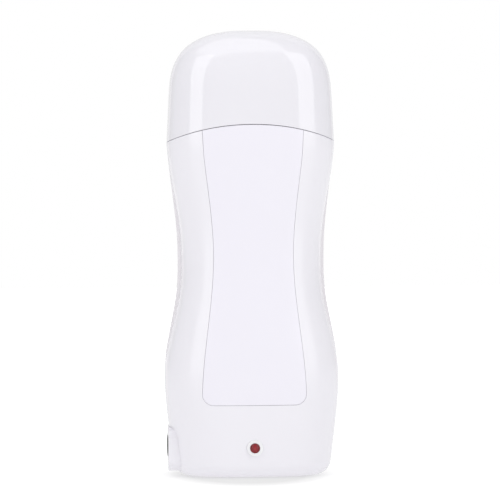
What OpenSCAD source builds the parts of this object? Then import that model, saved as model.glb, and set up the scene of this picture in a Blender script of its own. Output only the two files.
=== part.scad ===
// Hand-held roll-on wax warmer. Two waisted half shells close round an aluminium heating well,
// a wax cartridge with a roller head drops into the well, and a domed cap pushes over the head.
// Millimetres, +Z up, the front faces -Y. The origin is the middle of the base.

/* [Outline] */
// Room between the roller and the cap's crown
crown_room = 11.4; // [8:0.1:20]
// Height of the cap's lower edge at the sides
seam_z = 151.8; // [148:0.2:156]
// How far that edge arches up at the front and back
seam_rise = 7; // [4:0.2:8]
// Gap between the cap and the shells
seam_gap = 0.5; // [0.3:0.1:0.8]
// Height of the middle of the waist
waist_z = 96.8; // [94:0.2:104]
// Straight length of the waist
waist_flat = 9.4; // [4:0.2:14]
// Height of the widest part of the lower body
bulge_z = 46.5; // [42:0.5:50]
// Radius of the base's edge
base_edge = 7; // [5:0.5:8]
// Height of the dome on the cap
dome_h = 30; // [26:0.5:34]

/* [Widths, side to side] */
// Width above the base's edge
base_w = 72.6; // [70:0.2:75]
// Width of the lower body's bulge
bulge_w = 80; // [78:0.2:84]
// Room between the bottle and the outside at the sides of the waist
waist_room = 8.5; // [8.4:0.1:11]
// Room between the bottle and the outside at the cap's lower edge
seam_room = 13.3; // [13:0.1:16]
// How far the front shell stands back from the rear one at the waist
side_step = 1.7; // [0.8:0.1:1.9]

/* [Depths, front to back] */
// Depth above the base's edge
base_d = 53; // [51:0.5:57]
// Depth of the lower body's bulge
bulge_d = 58; // [56:0.5:62]
// Room between the bottle and the outside at the front and back of the waist
waist_room_d = 11.5; // [11:0.1:13]
// Depth at the cap's lower edge
seam_d = 57; // [56:0.5:60]

/* [Walls] */
// Wall of the half shells
shell_wall = 2.2; // [1.8:0.1:2.4]
// Thickness of the base
floor_t = 2.4; // [2:0.1:3]
// Wall of the cap
cap_wall = 2.1; // [1.8:0.1:2.4]
// Gap between pieces that are pushed together
fit_gap = 0.15; // [0.1:0.05:0.2]

/* [Front panel] */
// Width of the panel at the waist
panel_w = 35.8; // [32:0.2:40]
// Width of the panel at its ends
panel_end_w = 46.8; // [44:0.2:50]
// Height of the panel's lower edge
panel_z = 33; // [30:0.5:38]
// Radius of the panel's lower corners
panel_corner = 5; // [3:0.5:8]
// Thickness of the panel
panel_t = 1.4; // [1:0.1:1.5]

/* [Lamp] */
// Height of the lamp
lamp_z = 13.7; // [13:0.1:17]
// Diameter of the lamp
lamp_d = 4.6; // [4:0.1:5]
// Diameter of the ring round it
bezel_d = 7.4; // [7:0.1:9]
// How far the ring stands out
bezel_proud = 0.4; // [0.2:0.1:0.8]
// How far the lamp's dome stands out of the ring
lamp_proud = 0.9; // [0.6:0.1:1]

/* [Power inlet] */
// How far the block stands out of the lower body's side
inlet_proud = 1.6; // [1.2:0.1:2]
// Width of the block, front to back
inlet_w = 30; // [26:0.5:31]
// Height of the block
inlet_h = 19.8; // [19.4:0.1:22]
// Height of the block's lower edge
inlet_z = 2.6; // [2.6:0.1:4]
// Radius of the block's corners
inlet_corner = 5.5; // [3:0.5:6]
// Distance between the two pins
pin_pitch = 8.6; // [8.6:0.1:8.8]
// Diameter of a pin
pin_d = 2.4; // [2.3:0.1:2.5]
// Height of the socket's opening
socket_w = 7.2; // [6.8:0.1:7.4]
// Depth of the socket's opening
socket_depth = 12.5; // [11:0.5:13]
// How far the socket sits above the middle of the block
socket_lift = 0.9; // [0:0.1:1]

/* [Wax cartridge] */
// Width of the bottle
bottle_w = 50; // [48:0.2:50.4]
// Depth of the bottle
bottle_d = 30; // [28:0.2:30.4]
// Corner radius of the bottle
bottle_r = 8; // [6:0.5:10]
// Length of the bottle below the head
bottle_l = 108; // [102:1:110]
// Wall of the bottle
bottle_wall = 1.2; // [1:0.1:1.6]
// Empty room over the wax in the bottle
wax_room = 16.8; // [12:0.1:60]
// Gap between the bottle and the well
bottle_gap = 0.4; // [0.3:0.1:0.6]
// Diameter of the roller
roller_d = 20; // [18:0.5:21]
// Length of the roller
roller_l = 44; // [40:0.5:45]
// Running gap of the roller's journals in the head
journal_gap = 0.05; // [0.03:0.01:0.08]

/* [Heating well] */
// Wall of the well
well_wall = 1.2; // [1:0.1:1.4]
// Width of the heating element
heater_w = 24; // [20:0.5:25]
// Height of the heating element
heater_h = 24; // [18:1:26]
// Thickness of the heating element
heater_t = 3; // [2:0.1:3.2]

/* [Hidden] */
$fn = 48;
// Steps from one side of a section to the other
half_steps = 20;
// Squareness of the sections at the base and at the cap
base_power = 2.6;
seam_power = 3;
dome_power = 2.6;
dome_rise = 3;
// Slopes of the outline at the base, below the seam and above it
base_flare = 0.1;
seam_flare = 0.06;
cap_taper = 0.049;
waist_low = waist_z - waist_flat / 2;
waist_high = waist_z + waist_flat / 2;
seam_w = bottle_w + 2 * seam_room;
waist_w = bottle_w + 2 * waist_room;
waist_d = bottle_d + 2 * waist_room_d;
step_reach = 44;
step_z = waist_z - 2.2;
// Height range over which the panel widens, from its narrowest place
panel_reach = 66;
panel_waist_z = waist_z + 3.2;
// Where the seam's arch starts to bend the section lines
body_bend_z = seam_z - 8;
arch_r = (pow(seam_w / 2, 2) + pow(seam_rise, 2)) / (2 * seam_rise);
// The collar, which stands up inside the cap
ledge_z = seam_z - 9.5;
ledge_t = 2;
ledge_w = 2.4;
collar_top = seam_z + seam_rise + 7;
collar_wall = 2;
// How far the collar stands back from the arched edges
collar_back = 0.35;
well_top = seam_z - 4.5;
mouth_wall = 1.6;
// The cartridge rests on the collar
rest_gap = 0.2;
head_z = collar_top + rest_gap;
bottle_z = head_z - bottle_l;
flange_w = 60;
flange_d = 40;
flange_t = 3;
head_h = 12.8;
head_w = 54;
head_d = 28;
head_wall = 1.6;
roller_gap = 0.5;
roller_z = head_z + flange_t + roller_d / 2 + roller_gap;
total_h = roller_z + roller_d / 2 + crown_room + cap_wall;
dome_z = total_h - dome_h;
journal_r = 2;
journal_l = 3;
cheek_t = 4.2;
cheek_r = 6.5;
// The well and what heats it
well_w = bottle_w + 2 * bottle_gap;
well_d = bottle_d + 2 * bottle_gap;
well_r = bottle_r + bottle_gap;
well_floor_z = bottle_z - 1;
well_low_z = well_floor_z - well_wall;
well_flange_t = 1.2;
ear_x = well_w / 2 + 4.8;
ear_r = 3;
well_back = well_d / 2 + well_wall;
film_t = 0.2;
spring_t = 0.5;
heater_z = well_floor_z + 6;
heater_x = heater_w / 2 + fit_gap;
rail_w = 1.8;
rail_depth = film_t + heater_t + spring_t + 3 * 0.1;
rail_lip = 0.8;
tab_l = 3;
fuse_z = heater_z + heater_h + 13;
fuse_r = 2;
fuse_l = 11;
sleeve_wall = 0.4;
clip_t = 0.5;
clip_w = 6;
clip_pad = 7;
clip_pad_t = 2.4;
// Screws
screw_r = 1.3;
screw_gap = 0.25;
screw_head_r = 2.6;
screw_head_h = 1.8;
screw_l = 14;
post_r = 3.3;
head_post_r = 4.3;
screw_sink = 8;
small_screw_r = 1;
small_head_r = 1.9;
small_head_h = 1.2;
small_screw_l = 6;
// The lamp and its board
bezel_t = 0.8;
bezel_sleeve_wall = 0.65;
bezel_sleeve_l = 6;
lamp_flange_r = lamp_d / 2 + 0.5;
lamp_back_y = front_y(0, lamp_z) - bezel_proud + bezel_sleeve_l + 1.2;
board_w = 22;
board_h = 16;
board_t = 1.6;
board_y = -14;
board_screw_x = 8;
board_top_z = lamp_z + board_h / 2;
// The shell screws sit between the lamp's board and the well: [x, z]
screw_room = well_low_z - board_top_z;
shell_screw_x = well_w / 2 + 1.6;
shell_screws_at = [[shell_screw_x, board_top_z + 0.71 * screw_room],
                   [-shell_screw_x, board_top_z + 0.71 * screw_room],
                   [0, board_top_z + 0.28 * screw_room]];
board_post_r = 2.2;
lead_r = 0.3;
lead_pitch = 2.54;
// The inlet
inlet_mid_z = inlet_z + inlet_h / 2;
inlet_x = half_w(inlet_mid_z) + inlet_proud;
socket_z = inlet_mid_z + socket_lift;
inlet_wall = 2.2;
inlet_depth = 17;
socket_wall = 1.1;
socket_back = 5;
socket_proud = 0.2;
flange_gap = 0.5;
socket_flange = inlet_h / 2 - inlet_wall - socket_w / 2 - socket_wall - socket_lift - flange_gap;
pin_sink = 1.5;
pin_root_r = pin_d / 2 + 0.2;
pin_tab_l = 3;
wire_r = 0.8;

// Outline curves
function ease(t) = t * t * (3 - 2 * t);
function curve(t, h, a, b, slope_a, slope_b) =
    a + (b - a) * ease(t) + h * (slope_a * t * pow(1 - t, 2) - slope_b * t * t * (1 - t));
function dome(z, inset) =
    pow(max(0, 1 - pow((z - dome_z) / (total_h - inset - dome_z), dome_rise)), 1 / dome_power);
// Half of a size at height z. sizes holds the whole sizes at the base, bulge, waist and seam.
function half_size(z, sizes, inset) =
    z < base_edge ?
        sizes[0] / 2 - inset - base_edge + sqrt(pow(base_edge, 2) - pow(base_edge - max(0, z), 2)) :
    z < bulge_z ? curve((z - base_edge) / (bulge_z - base_edge), bulge_z - base_edge,
                        sizes[0] / 2, sizes[1] / 2, base_flare, 0) - inset :
    z < waist_low ?
        (sizes[1] + (sizes[2] - sizes[1]) * ease((z - bulge_z) / (waist_low - bulge_z))) / 2 - inset :
    z < waist_high ? sizes[2] / 2 - inset :
    z < seam_z ? curve((z - waist_high) / (seam_z - waist_high), seam_z - waist_high,
                       sizes[2] / 2, sizes[3] / 2, 0, seam_flare) - inset :
    z < dome_z ? sizes[3] / 2 - cap_taper * (z - seam_z) - inset :
    (sizes[3] / 2 - cap_taper * (z - seam_z) - inset) * dome(z, inset);
function half_w(z, inset = 0) = half_size(z, [base_w, bulge_w, waist_w, seam_w], inset);
function half_d(z, inset = 0) = half_size(z, [base_d, bulge_d, waist_d, seam_d], inset);
// How far the front shell's sides stand back at height z
function step_at(z) = side_step * max(0, 1 - pow((z - step_z) / step_reach, 2));
function power_at(z) = base_power + (seam_power - base_power) * min(1, z / seam_z);
// Height of the cap's lower edge at a distance x from the middle
function arch_z(x) = seam_z - arch_r + seam_rise + sqrt(pow(arch_r, 2) - x * x);
function bend_below(z) = z < body_bend_z ? 0 : ease(min(1, (z - body_bend_z) / (seam_z - body_bend_z)));
function bend_above(z) = z > dome_z ? 0 : ease((dome_z - z) / (dome_z - seam_z));
function signed_pow(v, p) = sign(v) * pow(abs(v), p);
// Depth of the front surface at x and z
function front_y(x, z, inset = 0) =
    -half_d(z, inset) *
    pow(max(0, 1 - pow(abs(x) / (half_w(z, inset) - step_at(z)), power_at(z))), 1 / power_at(z));
// Depth of the rear surface at x and z
function rear_y(x, z, inset = 0) =
    half_d(z, inset) * pow(max(0, 1 - pow(abs(x) / half_w(z, inset), power_at(z))), 1 / power_at(z));
function panel_half(z) =
    panel_w / 2 + (panel_end_w - panel_w) / 2 * ease(min(1, abs(z - panel_waist_z) / panel_reach));

// One point of a section. A level is [height, bend towards the arch, inset, share of the side step].
function section_point(angle, level) =
    let (c = signed_pow(cos(angle), 2 / power_at(level[0])),
         s = signed_pow(sin(angle), 2 / power_at(level[0])),
         z = level[0] + level[1] * (arch_z(c * half_w(level[0])) - seam_z))
    [c * (half_w(z, level[2]) - level[3] * step_at(z)), s * half_d(z, level[2]), z];
function section(level, first, last, steps) =
    [for (i = [0 : steps]) section_point(first + (last - first) * i / steps, level)];
function full_section(level) =
    [for (i = [0 : 2 * half_steps - 1]) section_point(180 * i / half_steps, level)];

// Triangles between two chains of points that climb side by side. A chain holds [index, height] pairs.
function zip(a, b, i = 0, j = 0) =
    i == len(a) - 1 && j == len(b) - 1 ? [] :
    j == len(b) - 1 || (i < len(a) - 1 && a[i + 1][1] <= b[j + 1][1]) ?
        concat([[a[i + 1][0], a[i][0], b[j][0]]], zip(a, b, i + 1, j)) :
        concat([[b[j][0], b[j + 1][0], a[i][0]]], zip(a, b, i, j + 1));
function flipped(faces) = [for (f = faces) [for (i = [len(f) - 1 : -1 : 0]) f[i]]];

// A skin over rings of equally many points. For a half shell turn is its last outer ring, and the open
// side is closed between the outer rings and the inner ones.
module skin(rings, turn = 0, strip_ends = false) {
    n = len(rings[0]);
    m = len(rings);
    open = turn > 0;
    spans = open ? n - 2 : n - 1;
    walls = [for (r = [0 : m - 2], i = [0 : spans])
        let (a = r * n + i, b = r * n + (i + 1) % n, c = (r + 1) * n + (i + 1) % n, d = (r + 1) * n + i)
        each [[a, c, b], [a, d, c]]];
    strip = [for (i = [0 : n / 2 - 2]) [i, i + 1, n - 2 - i, n - 1 - i]];
    first_end = strip_ends ? [for (q = strip) each [[q[0], q[1], q[2]], [q[0], q[2], q[3]]]] :
                             [[for (i = [0 : n - 1]) i]];
    last_end = [for (f = flipped(first_end)) [for (i = f) i + (m - 1) * n]];
    function up(k) = [for (r = [0 : turn]) [r * n + k, rings[r][k].z]];
    function down(k) = [for (r = [m - 1 : -1 : turn + 1]) [r * n + k, rings[r][k].z]];
    side = open ? concat(zip(up(0), down(0)), flipped(zip(up(n - 1), down(n - 1))),
                         [[0, n - 1, m * n - 1, (m - 1) * n]]) : [];
    polyhedron(points = [for (ring = rings) each ring], faces = concat(walls, first_end, last_end, side));
}

// Levels of the body's outside and inside, from the base to the seam
function body_heights(low, high, count) = [for (i = [0 : count]) low + (high - low) * i / count];
function outer_levels(stepped) = concat(
    [for (a = [0 : 22.5 : 67.5]) [base_edge * (1 - cos(a)), 0, 0, 0]],
    [for (z = body_heights(base_edge, body_bend_z, 18)) [z, 0, 0, stepped]],
    [for (z = body_heights(body_bend_z + 2, seam_z, 3)) [z, bend_below(z), 0, stepped]]);
function inner_levels() = concat(
    [for (z = body_heights(seam_z, ledge_z + 3, 2)) [z, bend_below(z), shell_wall, 1]],
    [[ledge_z, 0, shell_wall, 1], [ledge_z, 0, shell_wall + ledge_w, 1],
     [ledge_z - ledge_t, 0, shell_wall + ledge_w, 1], [ledge_z - ledge_t - ledge_w, 0, shell_wall, 1]],
    [for (z = body_heights(ledge_z - ledge_t - ledge_w - 5, base_edge, 16)) [z, 0, shell_wall, 1]],
    [[floor_t, 0, shell_wall + 1.5, 0]]);
module half_shell(first, last, stepped) {
    outer = outer_levels(stepped);
    skin([for (level = concat(outer, inner_levels())) section(level, first, last, half_steps)],
         turn = len(outer) - 1);
}

// Simple shapes that several pieces share
module rounded_box(w, d, r, z0, z1) {
    translate([0, 0, z0]) linear_extrude(z1 - z0) {
        square([w - 2 * r, d], center = true);
        square([w, d - 2 * r], center = true);
        for (x = [-1, 1], y = [-1, 1]) translate([x * (w / 2 - r), y * (d / 2 - r)]) circle(r);
    }
}
module along_y(x, z, y0, y1, r) {
    translate([x, y0, z]) rotate([-90, 0, 0]) cylinder(h = y1 - y0, r = r);
}
module along_x(x0, x1, y, z, r) {
    translate([x0, y, z]) rotate([0, 90, 0]) cylinder(h = x1 - x0, r = r);
}
// A block that lies along X, with an outline of w by h in Y and Z
module side_block(x0, x1, w, h, r, z) {
    translate([x0, 0, z]) rotate([90, 0, 90]) linear_extrude(x1 - x0) {
        square([w - 2 * r, h], center = true);
        square([w, h - 2 * r], center = true);
        for (y = [-1, 1], v = [-1, 1]) translate([y * (w / 2 - r), v * (h / 2 - r)]) circle(r);
    }
}
// A round wire along a list of points
module wire(path, r = wire_r, sides = 6) {
    last = len(path) - 1;
    function heading(i) = path[min(last, i + 1)] - path[max(0, i - 1)];
    function unit(v) = v / norm(v);
    skin([for (i = [0 : last])
        let (t = unit(heading(i)), a = unit(cross(t, [0.31, 0.87, 0.38])), b = cross(t, a))
        [for (k = [0 : sides - 1]) path[i] + r * (cos(360 * k / sides) * a + sin(360 * k / sides) * b)]]);
}
// A smooth path through hand-set points
function smooth_path(p, steps = 4) = concat(
    [for (i = [0 : len(p) - 2], k = [0 : steps - 1])
        let (t = k / steps, a = p[max(0, i - 1)], b = p[i], c = p[i + 1], d = p[min(len(p) - 1, i + 2)])
        0.5 * (2 * b + (c - a) * t + (2 * a - 5 * b + 4 * c - d) * t * t +
               (3 * b - a - 3 * c + d) * t * t * t)],
    [p[len(p) - 1]]);

// The panel's rows, from its lower edge to the arch: [height, half width, bend]
function panel_rows(grow) = concat(
    [for (a = [0 : 30 : 60]) [panel_z - grow + (panel_corner + grow) * (1 - cos(a)),
                              panel_half(panel_z) - panel_corner + (panel_corner + grow) * sin(a), 0]],
    [for (z = body_heights(panel_z + panel_corner, body_bend_z, 14)) [z, panel_half(z) + grow, 0]],
    [for (z = body_heights(body_bend_z + 2, seam_z, 3)) [z, panel_half(z) + grow, bend_below(z)]]);
function panel_ring(row, out, back) =
    let (xs = [for (i = [-6 : 6]) row[1] * i / 6],
         zs = [for (x = xs) row[0] + row[2] * (arch_z(x) - seam_z)])
    concat([for (i = [0 : 12]) [xs[i], front_y(xs[i], zs[i]) - out, zs[i]]],
           [for (i = [12 : -1 : 0]) [xs[i], front_y(xs[i], zs[i]) + back, zs[i]]]);
module panel_solid(grow, out, back, above = 0) {
    rows = panel_rows(grow);
    top = rows[len(rows) - 1];
    more = above > 0 ? [[top[0] + above, top[1], top[2]]] : [];
    skin([for (row = concat(rows, more)) panel_ring(row, out, back)], strip_ends = true);
}

// How far in a screw post may reach without coming through the wall
function post_end(x, z, r) = rear_y(abs(x) + r, z) - 0.4;

module inlet_window(grow) {
    side_block(-inlet_x - 5, -inlet_x + inlet_depth, inlet_w + 2 * grow, inlet_h + 2 * grow,
               inlet_corner + grow, inlet_mid_z);
}

module rear_shell() color("white") difference() {
    union() {
        half_shell(0, 180, 0);
        for (p = shell_screws_at)
            along_y(p[0], p[1], fit_gap, post_end(p[0], p[1], head_post_r), head_post_r);
    }
    for (p = shell_screws_at) {
        along_y(p[0], p[1], -1, screw_sink + 1, screw_r + screw_gap);
        along_y(p[0], p[1], screw_sink, bulge_d, screw_head_r + screw_gap);
    }
    inlet_window(fit_gap);
}

module front_shell() color("white") difference() {
    union() {
        half_shell(180, 360, 1);
        for (p = shell_screws_at) along_y(p[0], p[1], -post_end(p[0], p[1], post_r), -fit_gap, post_r);
        for (x = [-1, 1]) along_y(x * board_screw_x, lamp_z + 5,
                                  front_y(board_screw_x + board_post_r, lamp_z + 5) + 0.5,
                                  board_y - board_t / 2, board_post_r);
    }
    for (p = shell_screws_at) along_y(p[0], p[1], screw_sink - screw_l - 1, 1, screw_r + 0.03);
    for (x = [-1, 1]) along_y(x * board_screw_x, lamp_z + 5, board_y - board_t / 2 - small_screw_l, board_y,
                              small_screw_r + 0.03);
    along_y(0, lamp_z, -bulge_d, board_y, lamp_d / 2 + bezel_sleeve_wall + 2 * fit_gap);
    along_y(0, lamp_z, -bulge_d, front_y(0, lamp_z) + bezel_t - bezel_proud + fit_gap, bezel_d / 2 + fit_gap);
    panel_solid(fit_gap, 3, panel_t + fit_gap, above = 4);
    inlet_window(fit_gap);
}

module front_panel() color("lavender") panel_solid(0, 0, panel_t);

module cap() color("white") {
    heights = [for (t = [0 : 0.125 : 1]) ease(t)];
    inside = [for (a = [10 : 11 : 87]) let (h = dome_h - cap_wall) [dome_z + h * cos(a), 0, cap_wall, 0]];
    rise = [for (z = body_heights(dome_z, seam_z + seam_gap, 5)) [z, bend_above(z), cap_wall, 0]];
    fall = [for (z = body_heights(seam_z + seam_gap, dome_z, 5)) [z, bend_above(z), 0, 0]];
    outside = [for (a = [87 : -11 : 10]) [dome_z + dome_h * cos(a), 0, 0, 0]];
    crown = [[dome_z + dome_h * cos(5), 0, 0, 0], [total_h - 0.01, 0, 0, 0]];
    skin([for (level = concat(inside, rise, fall, outside, crown)) full_section(level)]);
}

module well_collar() color("whitesmoke") difference() {
    union() {
        skin([for (level = [[collar_top - collar_wall, 0, cap_wall + fit_gap + collar_wall, 0],
                            [seam_z, 0, cap_wall + fit_gap + collar_wall, 0],
                            [ledge_z + 0.1, 0, shell_wall + fit_gap + collar_wall, 1],
                            [ledge_z + 0.1, 0, shell_wall + fit_gap, 1],
                            [ledge_z + 3.8, 0, shell_wall + fit_gap + collar_back / 2, 1],
                            [seam_z - 2, 0, cap_wall + fit_gap + collar_back, 1],
                            [seam_z, 0, cap_wall + fit_gap + collar_back, 0],
                            [seam_z + seam_rise, 0, cap_wall + fit_gap, 0],
                            [collar_top - 0.8, 0, cap_wall + fit_gap, 0],
                            [collar_top, 0, cap_wall + fit_gap + 0.8, 0]]) full_section(level)]);
        rounded_box(well_w + 2 * mouth_wall, well_d + 2 * mouth_wall, well_r + mouth_wall, well_top,
                    collar_top - collar_wall / 2);
        for (x = [-1, 1]) translate([x * ear_x, 0, well_top])
            cylinder(h = collar_top - collar_wall / 2 - well_top, r = ear_r);
    }
    rounded_box(well_w, well_d, well_r, well_top - 1, collar_top + 1);
    for (x = [-1, 1]) translate([x * ear_x, 0, well_top - 1])
        cylinder(h = small_screw_l + 1.5, r = small_screw_r + 0.03);
}

module heating_well() color("silver") difference() {
    union() {
        rounded_box(well_w + 2 * well_wall, well_d + 2 * well_wall, well_r + well_wall,
                    well_low_z, well_top);
        translate([0, 0, well_top - well_flange_t]) linear_extrude(well_flange_t) {
            square([2 * ear_x, 2 * ear_r], center = true);
            for (x = [-1, 1]) translate([x * ear_x, 0]) circle(ear_r);
        }
        // the pocket of the heating element
        for (x = [-1, 1]) translate([x * (heater_x + rail_w / 2), well_back - 0.5 + (rail_depth + 0.5) / 2,
                                     heater_z + heater_h / 2])
            cube([rail_w, rail_depth + 0.5, heater_h], center = true);
        for (x = [-1, 1]) translate([x * (heater_x + rail_w / 2 - 0.75),
                                     well_back + rail_depth + rail_lip / 2 - 0.01, heater_z + heater_h / 2])
            cube([rail_w + 1.5, rail_lip + 0.02, heater_h], center = true);
        // the pad of the fuse's clip
        translate([0, well_back + clip_pad_t / 2 - 0.25, fuse_z + clip_pad])
            cube([clip_w, clip_pad_t + 0.5, 6], center = true);
    }
    rounded_box(well_w, well_d, well_r, well_floor_z, well_top + 1);
    for (x = [-1, 1]) translate([x * ear_x, 0, well_top - 3]) cylinder(h = 4, r = small_screw_r + screw_gap);
    along_y(0, fuse_z + clip_pad, well_back, well_back + clip_pad_t + 1, small_screw_r + 0.03);
}

module small_screw() {
    cylinder(h = small_screw_l, r = small_screw_r);
    translate([0, 0, -small_head_h]) cylinder(h = small_head_h, r = small_head_r);
}

module well_screws() color("dimgray") for (x = [-1, 1])
    translate([x * ear_x, 0, well_top - well_flange_t]) small_screw();

module heater_film() color("goldenrod")
    translate([-heater_w / 2, well_back + 0.05, heater_z]) cube([heater_w, film_t, heater_h]);

module heater() color("dimgray") {
    translate([-heater_w / 2, well_back + film_t + 0.1, heater_z]) cube([heater_w, heater_t, heater_h]);
    for (z = [heater_z - tab_l, heater_z + heater_h])
        translate([heater_w / 4 - 1.5, well_back + film_t + 0.1 + heater_t / 2 - 0.25, z])
            cube([3, 0.5, tab_l]);
}

module heater_spring() color("silver") {
    y0 = well_back + film_t + heater_t + 0.15;
    translate([-heater_w / 2, y0, heater_z + 1]) cube([heater_w, spring_t, heater_h - 2]);
}

module thermal_fuse() color("silver") {
    y = well_back + 0.1 + sleeve_wall + fuse_r;
    along_x(-fuse_l / 2, fuse_l / 2, y, fuse_z, fuse_r);
    along_x(-fuse_l / 2 - 5, fuse_l / 2 + 5, y, fuse_z, 0.5);
}

module fuse_sleeve() color("beige") {
    y = well_back + 0.1 + sleeve_wall + fuse_r;
    difference() {
        along_x(-fuse_l / 2 - 2, fuse_l / 2 + 2, y, fuse_z, fuse_r + sleeve_wall);
        along_x(-fuse_l / 2 - 3, fuse_l / 2 + 3, y, fuse_z, fuse_r + 0.02);
    }
}

module fuse_clip() color("silver") {
    y = well_back + 0.1 + sleeve_wall + fuse_r;
    r = fuse_r + sleeve_wall + 0.05;
    difference() {
        union() {
            along_x(-clip_w / 2 + 0.5, clip_w / 2 - 0.5, y, fuse_z, r + clip_t);
            translate([-clip_w / 2 + 0.5, well_back + clip_pad_t, fuse_z])
                cube([clip_w - 1, clip_t, clip_pad + 2.6]);
        }
        along_x(-clip_w, clip_w, y, fuse_z, r);
        translate([-clip_w, well_back - 5, fuse_z - 2 * r]) cube([2 * clip_w, y - well_back + 5, 2 * r]);
        translate([-clip_w, well_back - 5, fuse_z - 1]) cube([2 * clip_w, 5 + clip_pad_t, 12]);
        along_y(0, fuse_z + clip_pad, well_back, well_back + 9, small_screw_r + screw_gap / 2);
    }
}

module clip_screw() color("dimgray")
    translate([0, well_back + clip_pad_t + clip_t, fuse_z + clip_pad]) rotate([90, 0, 0])
        {
            cylinder(h = clip_pad_t, r = small_screw_r);
            translate([0, 0, -small_head_h]) cylinder(h = small_head_h, r = small_head_r);
        }

module inlet_block() color("white") difference() {
    side_block(-inlet_x, -inlet_x + inlet_depth, inlet_w, inlet_h, inlet_corner, inlet_mid_z);
    side_block(-inlet_x + inlet_wall, 0, inlet_w - 2 * inlet_wall, inlet_h - 2 * inlet_wall,
               inlet_corner - inlet_wall, inlet_mid_z);
    socket_block(-inlet_x - 1, 0, socket_wall + 0.1);
}

// The outline of the socket's opening, grown by a wall, as a block along X
module socket_block(x0, x1, grow) {
    r = socket_w / 2 + grow;
    side_block(x0, x1, pin_pitch + 2 * r, 2 * r, r - 0.01, socket_z);
}

module inlet_socket() color([0.08, 0.08, 0.08]) difference() {
    union() {
        socket_block(-inlet_x - socket_proud, -inlet_x + socket_depth + socket_back, socket_wall);
        socket_block(-inlet_x + inlet_wall + 0.05, -inlet_x + inlet_wall + 2, socket_wall + socket_flange);
    }
    socket_block(-inlet_x - 2, -inlet_x + socket_depth, 0);
    for (y = [-1, 1]) along_x(-inlet_x, 0, y * pin_pitch / 2, socket_z, pin_root_r + 0.02);
}

module inlet_pins() color("goldenrod") for (y = [-1, 1]) {
    root = -inlet_x + socket_depth;
    end = root + socket_back;
    along_x(-inlet_x + pin_sink, root, y * pin_pitch / 2, socket_z, pin_d / 2);
    along_x(root, end, y * pin_pitch / 2, socket_z, pin_root_r);
    translate([end - 1, y * pin_pitch / 2 - 1, socket_z - 0.4]) cube([pin_tab_l + 1, 2, 0.8]);
}

module lamp() color("red") {
    y0 = front_y(0, lamp_z) - bezel_proud;
    back = y0 - lamp_back_y;
    dome_r = (pow(lamp_d / 2, 2) + pow(lamp_proud, 2)) / (2 * lamp_proud);
    arc = asin(lamp_d / 2 / dome_r);
    translate([0, y0, lamp_z]) rotate([90, 0, 0]) rotate_extrude() polygon(concat(
        [for (i = [0 : 5]) [dome_r * sin(arc * i / 6), lamp_proud - dome_r * (1 - cos(arc * i / 6))]],
        [[lamp_d / 2, 0], [lamp_d / 2, back + 1], [lamp_flange_r, back + 1], [lamp_flange_r, back],
         [0, back]]));
}

module lamp_ring() color("white") {
    y0 = front_y(0, lamp_z) - bezel_proud;
    difference() {
        union() {
            along_y(0, lamp_z, y0, y0 + bezel_t, bezel_d / 2);
            along_y(0, lamp_z, y0, y0 + bezel_sleeve_l, lamp_d / 2 + fit_gap / 2 + bezel_sleeve_wall);
        }
        along_y(0, lamp_z, y0 - 1, y0 + bezel_sleeve_l + 1, lamp_d / 2 + fit_gap / 2);
    }
}

module lamp_leads() color("silver") for (x = [-1, 1])
    along_y(x * lead_pitch / 2, lamp_z, lamp_back_y, board_y + board_t / 2 + 1, lead_r);

module lamp_board() color("olive") difference() {
    translate([-board_w / 2, board_y - board_t / 2, lamp_z - board_h / 2]) cube([board_w, board_t, board_h]);
    for (x = [-1, 1]) along_y(x * lead_pitch / 2, lamp_z, board_y - 2, board_y + 2, lead_r + 0.05);
    for (x = [-1, 1]) along_y(x * board_screw_x, lamp_z + 5, board_y - 2, board_y + 2, small_screw_r + 0.1);
}

module board_resistors() color("tan") for (z = [-5.4, -2.2])
    along_x(-3.2, 3.2, board_y + board_t / 2 + 1.25, lamp_z + z, 1.2);

module board_diode() color("black") along_x(5.6, 9.6, board_y + board_t / 2 + 1.15, lamp_z - 3.5, 1.1);

module board_screws() color("dimgray") for (x = [-1, 1])
    translate([x * board_screw_x, board_y + board_t / 2, lamp_z + 5]) rotate([90, 0, 0]) small_screw();

module shell_screws() color("dimgray") for (p = shell_screws_at)
    translate([p[0], screw_sink, p[1]]) rotate([90, 0, 0]) {
        cylinder(h = screw_l, r = screw_r);
        translate([0, 0, -screw_head_h]) cylinder(h = screw_head_h, r = screw_head_r);
    }

// Wires. Each starts and ends just clear of the piece that it is soldered to.
solder_gap = 0.4;
tab_x = -inlet_x + socket_depth + socket_back + pin_tab_l + solder_gap;
tab_y = pin_pitch / 2;
wire_y = 1;
lamp_wire_y = -1;
lamp_wire_r = 0.6;
fuse_y = well_back + 0.1 + sleeve_wall + fuse_r;
fuse_end_x = fuse_l / 2 + 5 + solder_gap;
heater_y = well_back + film_t + 0.1 + heater_t / 2;
heater_tab_x = heater_w / 4;
heater_top_z = heater_z + heater_h + tab_l + solder_gap;
heater_low_z = heater_z - tab_l - solder_gap;
board_back_y = board_y + board_t / 2 + solder_gap;
module live_wire() color("brown") wire(smooth_path([
    [tab_x, tab_y + wire_y, socket_z], [tab_x + 1.5, tab_y + wire_y, socket_z],
    [tab_x + 3.5, tab_y + 2.7, socket_z + 3], [tab_x + 3.7, tab_y + 5.7, well_low_z - 27],
    [tab_x + 1.5, well_back - 2.6, well_low_z - 14], [tab_x - 2.5, well_back + 2, well_low_z - 3],
    [7.4 - well_w / 2, well_back + 2.2, heater_z],
    [7.4 - well_w / 2, well_back + 2.2, heater_z + heater_h / 2],
    [7.4 - well_w / 2, well_back + 2.4, fuse_z - 9], [-fuse_end_x - 3, fuse_y, fuse_z - 1],
    [-fuse_end_x - 1, fuse_y, fuse_z], [-fuse_end_x, fuse_y, fuse_z]]));
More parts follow.
